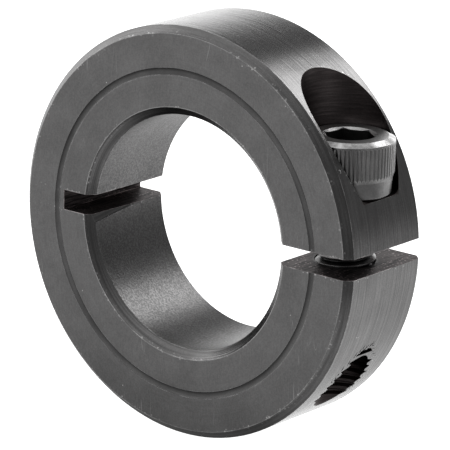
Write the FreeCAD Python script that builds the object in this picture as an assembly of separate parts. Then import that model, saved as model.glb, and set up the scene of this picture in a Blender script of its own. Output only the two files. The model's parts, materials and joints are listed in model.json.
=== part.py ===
import FreeCAD, Part
import math
import os

# One-piece clamp shaft collar with its hex socket cap screw, in millimetres.
# Y is the bore axis (the grooved face is at -Y), X points out through the clamp gap
# and Z points along the screw towards its head. The origin is the middle of the bore.

V = FreeCAD.Vector

# ring
bore_r = 25.4 / 2
outer_r = 44.45 / 2
width = 12.7
bore_chamfer = 0.9
outer_chamfer = 0.8
groove_inner_r = 17.02
groove_outer_r = 17.80
groove_depth = 0.1
groove_steps = 8

# saw cuts: the clamp gap goes through on +X, the relief slot stops in the wall on -X
saw_width = 2.18
saw_mid_z = 0.56
slot_end_x = -16.46

# filed bevel along the relief slot's lower edge, fading out towards the back
bevel_height = 1.0
bevel_depth = 0.35
bevel_end_y = 2.4

# screw position
screw_x = 16.87
seat_z = 6.75

# holes for the screw
counterbore_r = 5.2
counterbore_corner_r = 0.6
clearance_r = 3.4
running_r = 3.225
running_end_z = -10.2
tap_thread_z = -18.96
tap_turns = 11
tap_drill_r = 2.75
tap_major_r = 3.2

# 1/4-28 socket head cap screw, 5/8 in long
pitch = 25.4 / 28
major_r = 6.35 / 2
minor_r = 2.62
screw_length = 15.875
neck_length = 1.3
neck_r = 3.08
point_chamfer = 0.6
thread_turns = 16
thread_start = 0.77
head_r = 9.525 / 2
head_height = 6.2
head_top_r = 4.02
head_chamfer_height = 0.38
head_base_r = 4.48
head_base_height = 1.95
head_base_chamfer = 0.3
head_swell_r = 4.6
head_swell_height = 0.5
knurl_ridges = 64
knurl_root_r = 4.64
knurl_top_margin = 0.6
socket_across_flats = 4.762
socket_depth = 3.05
socket_angle = 22.6
socket_lead_r = 2.8
socket_lead_depth = 0.25
socket_drill_depth = 0.7


def cylinder_z(radius, z_low, z_high, x=0.0):
    """A cylinder parallel to Z between two heights."""
    return Part.makeCylinder(radius, z_high - z_low, V(x, 0, z_low), V(0, 0, 1))


def box_between(low, high):
    """A box from its lowest corner to its highest corner."""
    size = [b - a for a, b in zip(low, high)]
    return Part.makeBox(size[0], size[1], size[2], V(*low))


def turned(points, axis):
    """A solid of revolution from a closed section; points are true positions."""
    wire = Part.makePolygon([V(*p) for p in points] + [V(*points[0])])
    return Part.Face(wire).revolve(V(0, 0, 0), axis, 360)


def helical_tooth(radius_wide, half_wide, radius_narrow, half_narrow, length):
    """A trapezoid thread tooth swept up a right-hand helix about Z, starting at z = 0."""
    helix = Part.makeHelix(pitch, length, radius_wide)
    corners = [
        (radius_wide, -half_wide),
        (radius_wide, half_wide),
        (radius_narrow, half_narrow),
        (radius_narrow, -half_narrow),
    ]
    section = Part.makePolygon([V(r, 0, z) for r, z in corners + corners[:1]])
    return Part.Wire(helix.Edges).makePipeShell([section], True, True)


def groove_points():
    """The face groove's round-nosed section, from its inner lip to its outer lip."""
    mid_r = (groove_inner_r + groove_outer_r) / 2
    half_width = (groove_outer_r - groove_inner_r) / 2
    points = []
    for i in range(groove_steps + 1):
        across = -1 + 2 * i / groove_steps
        points.append((mid_r + half_width * across, -width / 2 + groove_depth * (1 - across**2)))
    return points


def make_ring():
    """The turned blank: bore, both faces, four chamfered edges and the face groove."""
    half = width / 2
    section = [
        (bore_r, -half + bore_chamfer),
        (bore_r + bore_chamfer, -half),
        *groove_points(),
        (outer_r - outer_chamfer, -half),
        (outer_r, -half + outer_chamfer),
        (outer_r, half - outer_chamfer),
        (outer_r - outer_chamfer, half),
        (bore_r + bore_chamfer, half),
        (bore_r, half - bore_chamfer),
    ]
    return turned([(r, y, 0) for r, y in section], V(0, 1, 0))


def make_saw_cuts():
    """One saw plane: through the +X side, and part-way into the -X side from the bore."""
    z_low = saw_mid_z - saw_width / 2
    z_high = saw_mid_z + saw_width / 2
    reach = width
    gap = box_between((0, -reach, z_low), (outer_r + 2, reach, z_high))
    slot = box_between((slot_end_x, -reach, z_low), (0, reach, z_high))
    return gap, slot


def make_slot_bevel():
    """The filed bevel: a wedge along the slot's lower edge, widest at the grooved face."""
    edge_z = saw_mid_z - saw_width / 2
    edge_x = -math.sqrt(bore_r**2 - edge_z**2)

    def outline(y, share):
        deep = edge_x - bevel_depth * share
        low = edge_z - bevel_height * share
        corners = [(deep, edge_z), (edge_x, low), (edge_x + 1, low), (edge_x + 1, 0), (deep, 0)]
        return Part.makePolygon([V(x, y, z) for x, z in corners + corners[:1]])

    front = outline(-width / 2 - 0.2, 1.0)
    back = outline(bevel_end_y, 0.02)
    return Part.makeLoft([front, back], True, True)


def make_counterbore():
    """The counterbore down to the seat, with the cutter's corner radius at its bottom."""
    tool = cylinder_z(counterbore_r, seat_z, outer_r + 2, screw_x)
    bottom = [e for e in tool.Edges if abs(e.CenterOfMass.z - seat_z) < 0.01 and e.Length > 1]
    return tool.makeFillet(counterbore_corner_r, bottom)


def make_tap_tools():
    """The drill and the thread cutter of the lower hole's end, below the tip of the screw."""
    drill = cylinder_z(tap_drill_r, -outer_r - 1, running_end_z + 0.1, screw_x)
    half_crest = pitch / 16
    slope = math.tan(math.radians(30))
    inner_r = tap_drill_r - 0.08
    half_root = half_crest + (tap_major_r - inner_r) * slope
    tooth = helical_tooth(inner_r, half_root, tap_major_r, half_crest, tap_turns * pitch)
    tooth.translate(V(screw_x, 0, tap_thread_z))
    return drill, tooth


def make_collar_body():
    """The ring with its saw cuts and the stepped hole for the screw."""
    body = make_ring()
    for cut in make_saw_cuts():
        body = body.cut(cut)
    body = body.cut(make_slot_bevel())
    body = body.cut(make_counterbore())
    body = body.cut(cylinder_z(clearance_r, saw_mid_z, seat_z + 1, screw_x))
    body = body.cut(cylinder_z(running_r, running_end_z, saw_mid_z, screw_x))
    for tool in make_tap_tools():
        body = body.cut(tool)
    return body


def make_head():
    """The knurled head, with its seat at z = 0."""
    chamfer_z = head_height - head_chamfer_height
    knurl_low = head_base_height
    knurl_high = head_height - knurl_top_margin
    section = [
        (0, 0),
        (head_base_r - head_base_chamfer, 0),
        (head_base_r, head_base_chamfer),
        (head_swell_r, knurl_low),
        (head_r, knurl_low + head_swell_height),
        (head_r, chamfer_z),
        (head_top_r, head_height),
        (0, head_height),
    ]
    head = turned([(r, 0, z) for r, z in section], V(0, 0, 1))
    step = 2 * math.pi / knurl_ridges
    rim = []
    for i in range(knurl_ridges):
        for turn, radius in ((-0.5, knurl_root_r), (-0.2, head_r), (0, head_r + 0.04), (0.2, head_r)):
            angle = (i + turn) * step
            rim.append(V(radius * math.cos(angle), radius * math.sin(angle), knurl_low))
    ridged = Part.Face(Part.makePolygon(rim + rim[:1])).extrude(V(0, 0, knurl_high - knurl_low))
    around = cylinder_z(head_r + 1, knurl_low, knurl_high)
    return head.cut(around.cut(ridged))


def make_socket():
    """The hex socket: lead-in cone, six flats and the drill point at the bottom."""
    corner_r = socket_across_flats / math.sqrt(3)
    corners = []
    for i in range(6):
        angle = math.radians(socket_angle + 60 * i)
        corners.append(V(corner_r * math.cos(angle), corner_r * math.sin(angle), 0))
    hexagon = Part.Face(Part.makePolygon(corners + corners[:1]))
    flats = hexagon.extrude(V(0, 0, socket_depth + 1))
    flats.translate(V(0, 0, head_height - socket_depth))
    lead_r = socket_lead_r - socket_lead_depth * math.tan(math.radians(60))
    lead = Part.makeCone(lead_r, socket_lead_r, socket_lead_depth)
    lead.translate(V(0, 0, head_height - socket_lead_depth))
    point_z = head_height - socket_depth
    point = Part.makeCone(0.05, socket_across_flats / 2 - 0.02, socket_drill_depth)
    point.translate(V(0, 0, point_z - socket_drill_depth))
    return flats.fuse(lead).fuse(point)


def make_cap_screw():
    """The socket head cap screw, placed on its seat in the upper jaw."""
    section = [
        (0, 0.5),
        (neck_r, 0.5),
        (neck_r, -neck_length),
        (major_r, -neck_length - 0.1),
        (major_r, -screw_length + point_chamfer),
        (major_r - point_chamfer, -screw_length),
        (0, -screw_length),
    ]
    shank = turned([(r, 0, z) for r, z in section], V(0, 0, 1))
    half_root = pitch / 16
    slope = math.tan(math.radians(30))
    outside_r = major_r + 0.05
    half_open = half_root + (outside_r - minor_r) * slope
    tooth = helical_tooth(outside_r, half_open, minor_r, half_root, thread_turns * pitch)
    tooth.translate(V(0, 0, -neck_length - thread_start - thread_turns * pitch))
    shank = shank.cut(tooth)
    screw = make_head().fuse(shank).cut(make_socket())
    screw.translate(V(screw_x, 0, seat_z))
    return screw


nodes = {
    "collar_body": make_collar_body(),
    "cap_screw": make_cap_screw(),
}

os.makedirs("parts", exist_ok=True)
for name, shape in nodes.items():
    shape.exportStep(f"parts/{name}.step")
    print(name, "valid", shape.isValid(), "solids", len(shape.Solids), "faces", len(shape.Faces))
    print("  volume", round(shape.Volume, 1), "mm3")
    points = shape.tessellate(0.05)[0]
    for axis in ("x", "y", "z"):
        values = [getattr(p, axis) for p in points]
        print("  " + axis, round(min(values), 3), "to", round(max(values), 3))
overlap = nodes["collar_body"].common(nodes["cap_screw"]).Volume
print("overlap of the two pieces", round(overlap, 5), "mm3")
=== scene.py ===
import json
import math
import random

import bmesh
import bpy
from mathutils import Matrix, Vector


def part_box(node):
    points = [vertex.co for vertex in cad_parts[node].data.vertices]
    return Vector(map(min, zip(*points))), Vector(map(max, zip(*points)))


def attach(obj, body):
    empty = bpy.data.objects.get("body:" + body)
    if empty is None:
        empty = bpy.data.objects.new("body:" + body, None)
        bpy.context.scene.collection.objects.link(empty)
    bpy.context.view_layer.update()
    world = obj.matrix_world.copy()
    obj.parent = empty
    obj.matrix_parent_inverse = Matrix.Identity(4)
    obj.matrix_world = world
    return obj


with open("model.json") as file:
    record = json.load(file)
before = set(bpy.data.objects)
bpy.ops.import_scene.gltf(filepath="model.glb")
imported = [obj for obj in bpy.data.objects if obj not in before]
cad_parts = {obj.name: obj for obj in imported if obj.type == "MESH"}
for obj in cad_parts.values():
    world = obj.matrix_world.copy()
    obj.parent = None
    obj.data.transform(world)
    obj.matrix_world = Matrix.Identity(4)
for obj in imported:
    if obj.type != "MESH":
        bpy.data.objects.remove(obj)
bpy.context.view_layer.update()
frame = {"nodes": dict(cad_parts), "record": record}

scene = bpy.context.scene
scene.view_settings.view_transform = "Standard"
scene.view_settings.look = "None"

MM = 0.001
WHITE = (1, 1, 1, 1)

# ---------------------------------------------------------------- sizes of the part, in millimetres
# Y is the bore axis, X points out through the clamp gap and Z along the screw, towards its head.

collar_lo, collar_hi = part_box("collar_body")
screw_lo, screw_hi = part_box("cap_screw")
mounts = {mount["name"]: mount for mount in frame["record"]["mounts"]}
screw_joint = frame["record"]["behaviour"]["joints"][0]

OUTER_R = (collar_hi.x - collar_lo.x) / 2 / MM
HALF_WIDTH = (collar_hi.y - collar_lo.y) / 2 / MM
BORE_R = mounts["shaft_bore"]["dims"]["r_mm"]
SEAT_Z = screw_joint["pos_m"][2] / MM
SCREW_X = (screw_lo.x + screw_hi.x) / 2 / MM
SCREW_TOP = screw_hi.z / MM

OUTER_CHAMFER_R = 21.43
BORE_CHAMFER_R = 13.6
CHAMFER_DEPTH = 0.79
GROOVE_R = (17.02, 17.80)
GROOVE_REACH = 0.25
SAW_Z, SAW_HALF = 0.56, 1.09
SLOT_END_X = -16.46
COUNTERBORE_R = 5.2
TAPPED_R = 3.45
THREAD_R = 3.12

HEAD_HEIGHT = 6.25
HEAD_R = 4.7
RIM_R, RIM_DEPTH = 4.0, 0.42
SOCKET_R, SOCKET_LEAD_R, SOCKET_LEAD_DEPTH = 2.35, 2.81, 0.22


# ---------------------------------------------------------------- node helpers

class Nodes:
    """Builds a shader tree; a value may be a number, a colour or another node's socket."""

    def __init__(self, tree):
        self.tree = tree
        tree.nodes.clear()

    def put(self, socket, value):
        if isinstance(value, bpy.types.NodeSocket):
            self.tree.links.new(value, socket)
        elif value is not None:
            socket.default_value = value

    def add(self, kind, inputs=None, **settings):
        node = self.tree.nodes.new(kind)
        for key, value in settings.items():
            setattr(node, key, value)
        for key, value in (inputs or {}).items():
            self.put(node.inputs[key], value)
        return node

    def math(self, operation, a, b=None):
        node = self.add("ShaderNodeMath", operation=operation)
        self.put(node.inputs[0], a)
        self.put(node.inputs[1], b)
        return node.outputs[0]

    def dot(self, a, b):
        node = self.add("ShaderNodeVectorMath", {0: a, 1: b}, operation="DOT_PRODUCT")
        return node.outputs["Value"]

    def smooth(self, value, low, high, to_low=0.0, to_high=1.0):
        """A soft step from to_low, at or below low, to to_high, at or above high."""
        node = self.add("ShaderNodeMapRange", {
            "Value": value, "From Min": low, "From Max": high,
            "To Min": to_low, "To Max": to_high}, interpolation_type="SMOOTHSTEP")
        return node.outputs["Result"]


# ---------------------------------------------------------------- studio light

# name: (ring angle, lean towards +Y, full within, gone beyond, strength), angles in degrees
SOFT_LIGHTS = {
    "top_strip": (80, 50, 0, 19, 3.6),
    "left_box": (194, 63, 20, 33, 1.42),
    "side_box": (165, 6, 14, 44, 1.1),
    "right_box": (291, 47, 20, 44, 0.85),
    "front_fill": (150, -42, 0, 80, 0.72),
    "low_fill": (295, -20, 0, 40, 0.45),
    "right_fill": (5, 2, 0, 34, 0.45),
    "overhead": (90, 2, 5, 32, 0.6),
}
BASE_LIGHT = 0.2
BACKDROP_LIGHT = 1.1


def direction(ring_angle, lean):
    """A direction by its angle round the bore axis (0 = +X, 90 = up) and its lean towards +Y."""
    a, b = math.radians(ring_angle), math.radians(lean)
    return (math.cos(a) * math.cos(b), math.sin(b), math.sin(a) * math.cos(b))


def make_world():
    """Soft boxes on the sky for the metal to mirror; the camera itself sees plain white."""
    world = bpy.data.worlds.new("studio")
    scene.world = world
    world.use_nodes = True
    n = Nodes(world.node_tree)
    ray = n.add("ShaderNodeTexCoord").outputs["Generated"]
    total = BASE_LIGHT
    for ring_angle, lean, inner, outer, strength in SOFT_LIGHTS.values():
        facing = n.dot(ray, direction(ring_angle, lean))
        full, gone = math.cos(math.radians(inner)), math.cos(math.radians(outer))
        total = n.math("ADD", total, n.smooth(facing, gone, full, 0.0, strength))
    lights = n.add("ShaderNodeBackground", {"Color": WHITE, "Strength": total})
    backdrop = n.add("ShaderNodeBackground", {"Color": WHITE, "Strength": BACKDROP_LIGHT})
    seen = n.add("ShaderNodeLightPath").outputs["Is Camera Ray"]
    both = n.add("ShaderNodeMixShader", {0: seen, 1: lights.outputs[0], 2: backdrop.outputs[0]})
    n.add("ShaderNodeOutputWorld", {"Surface": both.outputs[0]})


make_world()


# ---------------------------------------------------------------- steel

BEVEL_SAMPLES = 6
WORN_TURN = (0.998, 0.94)


class Metal(Nodes):
    """What the steels share: places in millimetres, masks, grain, specks and worn edges."""

    def __init__(self, name):
        self.material = bpy.data.materials.new(name)
        self.material.use_nodes = True
        super().__init__(self.material.node_tree)
        metres = self.add("ShaderNodeTexCoord").outputs["Object"]
        scaled = self.add("ShaderNodeVectorMath", {0: metres, "Scale": 1 / MM}, operation="SCALE")
        self.place = scaled.outputs["Vector"]
        self.x, self.y, self.z = self.add("ShaderNodeSeparateXYZ", {"Vector": self.place}).outputs
        self.from_screw = self.length(self.math("SUBTRACT", self.x, SCREW_X), self.y)

    def both(self, a, b):
        return self.math("MULTIPLY", a, b)

    def either(self, a, b):
        return self.math("MAXIMUM", a, b)

    def without(self, a, b):
        return self.both(a, self.math("SUBTRACT", 1.0, b))

    def above(self, value, limit):
        return self.math("GREATER_THAN", value, limit)

    def below(self, value, limit):
        return self.math("LESS_THAN", value, limit)

    def between(self, value, limits):
        return self.both(self.above(value, limits[0]), self.below(value, limits[1]))

    def apart(self, value, centre):
        return self.math("ABSOLUTE", self.math("SUBTRACT", value, centre))

    def band(self, value, centre, width):
        """1 where the value is at the centre, fading to 0 over the width."""
        return self.smooth(self.apart(value, centre), 0.0, width, 1.0, 0.0)

    def length(self, a, b):
        return self.math("SQRT", self.math("ADD", self.both(a, a), self.both(b, b)))

    def choose(self, mask, a, b):
        """a where the mask is 0 and b where it is 1."""
        return self.add("ShaderNodeMix", {0: mask, 2: a, 3: b}, data_type="FLOAT").outputs[0]

    def layered(self, values, zones):
        """The base value, with each zone's own value laid over it in the zones' order."""
        result = values["base"]
        for name, mask in zones.items():
            if name in values:
                result = self.choose(mask, result, values[name])
        return result

    def noise(self, vector, scale, detail, roughness):
        node = self.add("ShaderNodeTexNoise", {
            "Vector": vector, "Scale": scale, "Detail": detail, "Roughness": roughness})
        return node.outputs["Fac"]

    def stretched(self, *axes, detail=3.0, roughness=0.6):
        """Noise by up to three axes: each is (place, cells per mm), or an offset."""
        ends = [self.both(*axis) if isinstance(axis, tuple) else axis for axis in axes]
        point = self.add("ShaderNodeCombineXYZ", dict(zip("XYZ", ends))).outputs[0]
        return self.noise(point, 1.0, detail, roughness)

    def specks(self, cell, size, share):
        """Sparse round flecks: cell and fleck radius in mm, and the share of cells with one."""
        node = self.add("ShaderNodeTexVoronoi", {"Vector": self.place, "Scale": 1 / cell})
        near = self.smooth(node.outputs["Distance"], size / cell * 0.5, size / cell, 1.0, 0.0)
        pick = self.add("ShaderNodeSeparateColor", {"Color": node.outputs["Color"]}).outputs[0]
        return self.both(near, self.above(pick, 1 - share))

    def rounded(self, radius):
        """The normal with its sharp edges rounded by the radius in mm."""
        node = self.add("ShaderNodeBevel", {"Radius": radius * MM}, samples=BEVEL_SAMPLES)
        return node.outputs[0]

    def worn_edge(self, radius):
        """1 on sharp edges, fading over the radius in mm."""
        flat = self.add("ShaderNodeNewGeometry").outputs["Normal"]
        return self.smooth(self.dot(self.rounded(radius), flat), *WORN_TURN, 0.0, 1.0)

    def finish(self, grey, roughness, height, edge_radius, warm):
        """The metal, with its relief and edge radius in mm; warm takes green and blue away."""
        relief = self.add("ShaderNodeBump", {
            "Strength": 1.0, "Distance": MM, "Height": height,
            "Normal": self.rounded(edge_radius)})
        cool = self.without(grey, warm)
        colour = self.add("ShaderNodeCombineColor", {"Red": grey, "Green": cool, "Blue": cool})
        shader = self.add("ShaderNodeBsdfPrincipled", {
            "Base Color": colour.outputs[0], "Metallic": 1.0, "Roughness": roughness,
            "Normal": relief.outputs[0]})
        self.add("ShaderNodeOutputMaterial", {"Surface": shader.outputs[0]})
        return self.material


# ---------------------------------------------------------------- the collar's black oxide

# by surface; base is the turned outside; the dark saw, holes and groove greys are painted shade in
# the clamp gap, the holes and the groove
OXIDE_GREY = {"base": 0.175, "face": 0.17, "wall": 0.165, "mouth": 0.15, "rim": 0.15,
              "saw": 0.085, "holes": 0.075, "groove": 0.088}
OXIDE_ROUGHNESS = {"base": 0.22, "face": 0.36, "wall": 0.36, "saw": 0.5, "holes": 0.42}
MARK_RELIEF = {"base": 0.02, "face": 0.006, "wall": 0.02}
# the marks' range from low to high, and the grey's factor at each
MARK_CONTRAST = {"base": (0.36, 0.68, 0.78, 1.24), "face": (0.3, 0.7, 0.92, 1.08),
                 "mouth": (0.35, 0.65, 0.72, 1.3), "saw": (0.35, 0.68, 0.35, 2.0)}
BARE_GREY = 0.6
OXIDE_WARMTH, CUT_WARMTH = 0.012, 0.14
BURRED_R = 3.6


def collar_zones(m, r):
    """A mask for each machined surface, in the order that they are laid over one another."""
    deep = m.math("ABSOLUTE", m.y)
    face = m.above(deep, HALF_WIDTH - 0.01)
    inside = m.without(m.below(r, BORE_R + 1.2), face)
    wall = m.both(inside, m.below(r, BORE_R + 0.05))
    upper = m.above(m.z, SEAT_Z - 0.02)
    drilled = m.both(m.below(m.from_screw, COUNTERBORE_R + 0.04), upper)
    tapped = m.both(m.below(m.from_screw, TAPPED_R), m.below(r, OUTER_R - 0.06))
    saw = m.both(m.below(m.apart(m.z, SAW_Z), SAW_HALF + 0.02), m.above(m.x, SLOT_END_X - 0.05))
    zones = {
        "face": face,
        "wall": wall,
        "mouth": m.without(inside, wall),
        "rim": m.both(m.without(m.above(r, OUTER_CHAMFER_R + 0.02), face),
                      m.above(deep, HALF_WIDTH - CHAMFER_DEPTH)),
        "saw": saw,
        "holes": m.either(drilled, tapped),
        "groove": m.both(m.between(r, GROOVE_R), m.below(m.y, GROOVE_REACH - HALF_WIDTH)),
    }
    return zones, upper, drilled


def cutter_marks(m, r, turn, zones):
    """The marks each cutter left: 0 in the furrows and 1 on the ridges."""
    lines = m.stretched((turn, 0.05), (m.y, 4.5))
    fine = m.stretched((turn, 0.25), (m.y, 10.0), 4.0, detail=2.0)
    lapped = m.stretched((m.x, 6.0), (m.z, 0.9))
    rings = m.stretched((r, 6.0), (turn, 0.05), 2.0, detail=2.0, roughness=0.5)
    speckle = m.noise(m.place, 5.0, 1.0, 0.5)
    return m.layered({
        "base": m.math("ADD", m.both(lines, 0.65), m.both(fine, 0.4)),
        "face": m.math("ADD", m.both(lapped, 0.6), m.both(rings, 0.3)),
        "wall": m.math("ADD", m.both(speckle, 0.8), m.both(lines, 0.2)),
        "mouth": m.stretched((r, 9.0), (turn, 0.03), 7.0, detail=2.0, roughness=0.5),
        "saw": m.stretched((m.x, 5.0), (m.y, 0.35), (m.z, 5.0), roughness=0.65),
        "holes": m.stretched((m.x, 0.3), (m.y, 0.3), (m.z, 7.0)),
    }, zones)


def oxide_grey(m, marks, grain, zones):
    """How light the oxide is, before any wear, with painted shade in the recesses, round the screw
    and towards the bottom of the faces.
    """
    grey = m.layered(OXIDE_GREY, zones)
    # painted shade: the oxide darkens round the screw, from 2 mm below the clamp gap upwards
    painted_shade_by_screw = m.smooth(m.from_screw, 3.1, 3.9, 0.7, 0.0)
    grey = m.without(grey, m.both(painted_shade_by_screw, m.above(m.z, -2.0)))
    # painted shade: the flat faces darken towards the bottom
    grey = m.both(grey, m.choose(zones["face"], 1.0, m.smooth(m.z, -22.0, -12.0, 0.66, 1.0)))
    cloud = m.noise(m.place, 0.22, 3.0, 0.6)
    grey = m.both(grey, m.smooth(cloud, 0.3, 0.7, 0.92, 1.08))
    contrast = {name: m.smooth(marks, *limits) for name, limits in MARK_CONTRAST.items()}
    grey = m.both(grey, m.layered(contrast, zones))
    return m.both(grey, m.smooth(grain, 0.3, 0.7, 0.9, 1.1))


def bare_steel(m, r, zones, upper, drilled):
    """Where the oxide is worn, chipped or scratched through to bright steel."""
    face = zones["face"]
    patchy = m.smooth(m.noise(m.place, 0.5, 4.0, 0.7), 0.42, 0.62, 0.15, 1.0)
    worn = m.without(m.both(m.worn_edge(0.16), patchy), m.below(m.from_screw, BURRED_R))

    edges = m.either(m.band(r, OUTER_CHAMFER_R, 0.45), m.band(r, BORE_CHAMFER_R, 0.35))
    edges = m.either(edges, m.band(m.apart(m.z, SAW_Z), SAW_HALF, 0.4))
    edges = m.either(edges, m.both(upper, m.band(m.from_screw, COUNTERBORE_R + 0.1, 0.3)))
    gap_edge = m.both(m.above(m.x, BORE_R), m.band(m.z, SAW_Z - SAW_HALF, 0.5))
    flecks = m.specks(0.34, 0.13, 0.65)
    chips = m.either(m.both(flecks, m.both(edges, patchy)), m.both(flecks, gap_edge))

    hair = m.stretched((m.x, 0.8), (m.z, 0.06), (m.y, 0.3), detail=1.0, roughness=0.4)
    hair = m.smooth(m.apart(hair, 0.5), 0.001, 0.006, 1.0, 0.0)
    scratched = m.both(face, m.smooth(m.noise(m.place, 0.16, 2.0, 0.5), 0.56, 0.66))

    lip = m.either(m.band(r, BORE_CHAMFER_R, 0.1), m.both(m.band(r, OUTER_CHAMFER_R, 0.1), 0.5))
    broken = m.smooth(m.noise(m.place, 0.3, 4.0, 0.7), 0.35, 0.6, 0.15, 0.75)

    bright = m.either(m.either(worn, chips), m.specks(1.5, 0.09, 0.2))
    bright = m.either(bright, m.both(m.both(hair, scratched), 0.4))
    bright = m.either(bright, m.both(m.both(lip, face), broken))
    return m.without(bright, m.either(drilled, m.below(m.from_screw, 4.0)))


def make_black_oxide():
    """The collar: turned, sawn, bored and then blackened."""
    m = Metal("black_oxide")
    r = m.length(m.x, m.z)
    turn = m.both(m.math("ARCTAN2", m.z, m.x), OUTER_R)
    zones, upper, drilled = collar_zones(m, r)
    marks = cutter_marks(m, r, turn, zones)
    grain = m.noise(m.place, 7.0, 2.0, 0.6)

    height = m.math("ADD", m.both(marks, m.layered(MARK_RELIEF, zones)), m.both(grain, 0.004))
    bright = bare_steel(m, r, zones, upper, drilled)
    grey = m.choose(m.both(bright, 0.85), oxide_grey(m, marks, grain, zones), BARE_GREY)
    rough = m.math("ADD", m.layered(OXIDE_ROUGHNESS, zones), m.smooth(marks, 0.2, 0.8, 0.04, -0.04))
    warm = m.either(m.both(m.either(zones["saw"], zones["holes"]), CUT_WARMTH), OXIDE_WARMTH)
    return m.finish(grey, rough, height, 0.05, warm)


# ---------------------------------------------------------------- the screw's steel

# by surface; base is the head's side; the socket's dark grey is painted shade in the hex recess
SCREW_GREY = {"base": 0.23, "top": 0.33, "lead": 0.6, "socket": 0.09}
SCREW_ROUGHNESS = {"base": 0.36, "rim": 0.22, "shank": 0.3}
SCREW_WARMTH = 0.01


def make_screw_steel():
    """The cap screw: forged head with a worn rim, rolled thread with painted highlights on its
    crests and painted shade in its roots and down in the hole.
    """
    m = Metal("screw_steel")
    down = m.math("SUBTRACT", SCREW_TOP, m.z)
    around = m.both(m.math("ARCTAN2", m.y, m.math("SUBTRACT", m.x, SCREW_X)), HEAD_R)
    in_socket = m.below(m.from_screw, SOCKET_LEAD_R)
    zones = {
        "rim": m.both(m.below(down, RIM_DEPTH), m.above(m.from_screw, RIM_R)),
        "top": m.both(m.below(down, 0.02), m.above(m.from_screw, 2.6)),
        "lead": m.both(m.both(m.above(m.from_screw, SOCKET_R), in_socket),
                       m.below(down, SOCKET_LEAD_DEPTH + 0.02)),
        "socket": m.both(in_socket, m.above(down, SOCKET_LEAD_DEPTH)),
        "shank": m.above(down, HEAD_HEIGHT),
    }
    lines = m.stretched((around, 0.2), (m.z, 6.0))
    grain = m.noise(m.place, 6.0, 3.0, 0.6)
    cloud = m.noise(m.place, 0.6, 3.0, 0.6)
    height = m.math("ADD", m.both(grain, 0.003), m.both(lines, 0.002))

    # painted highlight and shade on the thread: crests lighter, roots darker
    painted_crest_light = m.smooth(m.from_screw, 2.7, 3.15, 0.08, 0.36)
    greys = dict(SCREW_GREY)
    greys["rim"] = m.smooth(cloud, 0.35, 0.6, 0.42, 0.75)
    # painted shade: the shank darkens from the bottom of the clamp gap down into the tapped hole
    greys["shank"] = m.both(painted_crest_light, m.smooth(m.z, -0.7, 0.2, 0.2, 1.0))
    grey = m.layered(greys, zones)
    grey = m.both(grey, m.smooth(cloud, 0.3, 0.7, 0.85, 1.15))
    grey = m.both(grey, m.smooth(grain, 0.2, 0.8, 0.9, 1.1))
    worn = m.without(m.worn_edge(0.12), zones["socket"])
    grey = m.choose(m.both(worn, 0.5), grey, BARE_GREY)

    rough = m.layered(SCREW_ROUGHNESS, zones)
    rough = m.math("ADD", rough, m.smooth(grain, 0.2, 0.8, 0.05, -0.05))
    return m.finish(grey, rough, height, 0.06, SCREW_WARMTH)


def make_burr_steel():
    """Freshly torn steel: brighter than the oxide, with a fine grain."""
    m = Metal("burr_steel")
    grain = m.noise(m.place, 6.0, 3.0, 0.6)
    grey = m.smooth(grain, 0.3, 0.7, 0.16, 0.5)
    rough = m.smooth(grain, 0.3, 0.7, 0.4, 0.25)
    return m.finish(grey, rough, m.both(grain, 0.004), 0.02, SCREW_WARMTH)


# ---------------------------------------------------------------- burrs left by the cutters

TAP_FLAKES = 30
FLAKE_ARC = (-70, 190)
FLAKE_STEPS = 5
FLAKE_THICKNESS = 0.03
FLAKE_ROOT_DEPTH = 0.01

CURL_PLACE = Vector((19.75, -5.5, 10.45))
CURL_STEPS, CURL_SIDES = 16, 6
CURL_ARC = (-40, 250)
CURL_SIZE = (0.24, 0.12, 0.2)
CURL_THICKNESS = 0.05


def skin(bm, loops):
    """Closes a row of equal loops of vertices into one tube with two end caps."""
    count = len(loops[0])
    for low, high in zip(loops, loops[1:]):
        for k in range(count):
            bm.faces.new((low[k], low[(k + 1) % count], high[(k + 1) % count], high[k]))
    bm.faces.new(list(reversed(loops[0])))
    bm.faces.new(loops[-1])


def add_flake(bm, root, along, up, length, width, lift):
    """One curled sliver: it leaves the surface at its root and thins to a raised tip."""
    side = along.cross(up)
    loops = []
    for i in range(FLAKE_STEPS + 1):
        s = i / FLAKE_STEPS
        centre = root + along * (length * s) + up * (lift * math.sin(1.8 * s))
        half_w = width / 2 * (1 - 0.85 * s ** 1.5)
        half_t = FLAKE_THICKNESS * MM / 2 * (1 - 0.7 * s)
        loops.append([bm.verts.new(centre + side * (a * half_w) + up * (b * half_t))
                      for a, b in ((-1, -1), (1, -1), (1, 1), (-1, 1))])
    skin(bm, loops)


def on_outside(x, y):
    """The point of the collar's outside below (x, y) in mm, given in metres, and its normal."""
    up = Vector((x, 0, -math.sqrt(OUTER_R * OUTER_R - x * x))).normalized()
    return Vector((up.x * OUTER_R, y, up.z * OUTER_R)) * MM, up


def make_tap_burrs(material):
    """The ragged lip that the tap pushed out round the exit of the screw hole."""
    rng = random.Random(7)
    bm = bmesh.new()
    start, sweep = FLAKE_ARC
    for i in range(TAP_FLAKES):
        angle = math.radians(start + sweep * (i + rng.uniform(-0.4, 0.4)) / TAP_FLAKES)
        radius = THREAD_R + rng.uniform(0.0, 0.25)
        x, y = SCREW_X + radius * math.cos(angle), radius * math.sin(angle)
        root, up = on_outside(x, y)
        ahead, _ = on_outside(x + 0.1 * math.cos(angle + 1.0), y + 0.1 * math.sin(angle + 1.0))
        along = (ahead - root).normalized()
        add_flake(bm, root - up * FLAKE_ROOT_DEPTH * MM, along, up, rng.uniform(0.3, 0.75) * MM,
                  rng.uniform(0.08, 0.2) * MM, rng.uniform(0.04, 0.12) * MM)
    add_piece("tap_burrs", bm, material)


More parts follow.
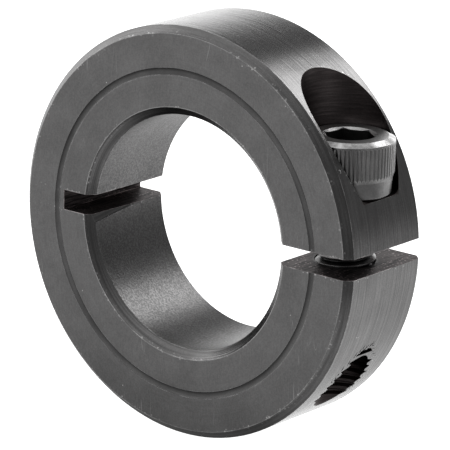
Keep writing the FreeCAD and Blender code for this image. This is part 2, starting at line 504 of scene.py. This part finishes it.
def make_seat_curl(material):
    """A curl of swarf still held on the chamfered edge beside the counterbore."""
    bm = bmesh.new()
    start, sweep = CURL_ARC
    wide, long, high = CURL_SIZE
    loops = []
    for i in range(CURL_STEPS + 1):
        s = i / CURL_STEPS
        turn = math.radians(start + sweep * s)
        centre = Vector((wide * math.cos(turn), long * s, high * math.sin(turn)))
        outward = Vector((math.cos(turn), 0, math.sin(turn)))
        radius = CURL_THICKNESS * math.sin(math.pi * (0.1 + 0.85 * s))
        loop = []
        for k in range(CURL_SIDES):
            a = 2 * math.pi * k / CURL_SIDES
            across = outward * (radius * math.cos(a))
            along = Vector((0, radius * math.sin(a), 0))
            loop.append(bm.verts.new((CURL_PLACE + centre + across + along) * MM))
        loops.append(loop)
    skin(bm, loops)
    add_piece("seat_curl", bm, material)


def add_piece(name, bm, material):
    """Makes the mesh a piece of the collar."""
    bmesh.ops.recalc_face_normals(bm, faces=bm.faces)
    mesh = bpy.data.meshes.new(name)
    bm.to_mesh(mesh)
    bm.free()
    piece = bpy.data.objects.new(name, mesh)
    scene.collection.objects.link(piece)
    give(piece, material)
    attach(piece, "collar")


def give(obj, material):
    obj.data.materials.clear()
    obj.data.materials.append(material)


give(frame["nodes"]["collar_body"], make_black_oxide())
give(frame["nodes"]["cap_screw"], make_screw_steel())
burr_steel = make_burr_steel()
make_tap_burrs(burr_steel)
make_seat_curl(burr_steel)


# ---------------------------------------------------------------- floor

FLOOR_HALF_SIZE = 3.0
FLOOR_GREY = (0.8, 0.8, 0.8, 1)
FLOOR_GLOW = 1.1


def make_floor():
    """White paper under the collar, which the metal doesn't mirror."""
    size, z = FLOOR_HALF_SIZE, collar_lo.z
    corners = [(-size, -size, z), (size, -size, z), (size, size, z), (-size, size, z)]
    mesh = bpy.data.meshes.new("floor")
    mesh.from_pydata(corners, [], [(0, 1, 2, 3)])
    floor = bpy.data.objects.new("floor", mesh)
    scene.collection.objects.link(floor)
    paper = bpy.data.materials.new("floor_paper")
    paper.use_nodes = True
    n = Nodes(paper.node_tree)
    diffuse = n.add("ShaderNodeBsdfDiffuse", {"Color": FLOOR_GREY})
    glow = n.add("ShaderNodeEmission", {"Color": WHITE, "Strength": FLOOR_GLOW})
    both = n.add("ShaderNodeAddShader", {0: diffuse.outputs[0], 1: glow.outputs[0]})
    n.add("ShaderNodeOutputMaterial", {"Surface": both.outputs[0]})
    mesh.materials.append(paper)
    floor.visible_glossy = False


make_floor()


# ---------------------------------------------------------------- camera

# degrees, and metres from the middle of the bore
CAMERA_AZIMUTH, CAMERA_ELEVATION, CAMERA_ROLL = 38.728, 16.079, 1.638
CAMERA_DISTANCE, CAMERA_ASIDE, CAMERA_DOWN = 0.39654, 0.000582, 0.000268
CAMERA_LENS, CAMERA_SENSOR = 298.08, 36.0


def make_camera():
    """A long lens that looks down on the grooved face from the side of the clamp gap."""
    az, el, roll = (math.radians(a) for a in (CAMERA_AZIMUTH, CAMERA_ELEVATION, CAMERA_ROLL))
    back = Vector((math.sin(az) * math.cos(el), -math.cos(az) * math.cos(el), math.sin(el)))
    right = Vector((math.cos(az), math.sin(az), 0))
    up = back.cross(right)
    side = math.cos(roll) * right + math.sin(roll) * up
    top = -math.sin(roll) * right + math.cos(roll) * up
    data = bpy.data.cameras.new("camera")
    data.sensor_width = CAMERA_SENSOR
    data.lens = CAMERA_LENS
    data.clip_start, data.clip_end = 0.01, 10.0
    camera = bpy.data.objects.new("camera", data)
    place = back * CAMERA_DISTANCE + side * CAMERA_ASIDE - top * CAMERA_DOWN
    turn = Matrix((side, top, back)).transposed().to_4x4()
    camera.matrix_world = Matrix.Translation(place) @ turn
    scene.collection.objects.link(camera)
    scene.camera = camera


make_camera()
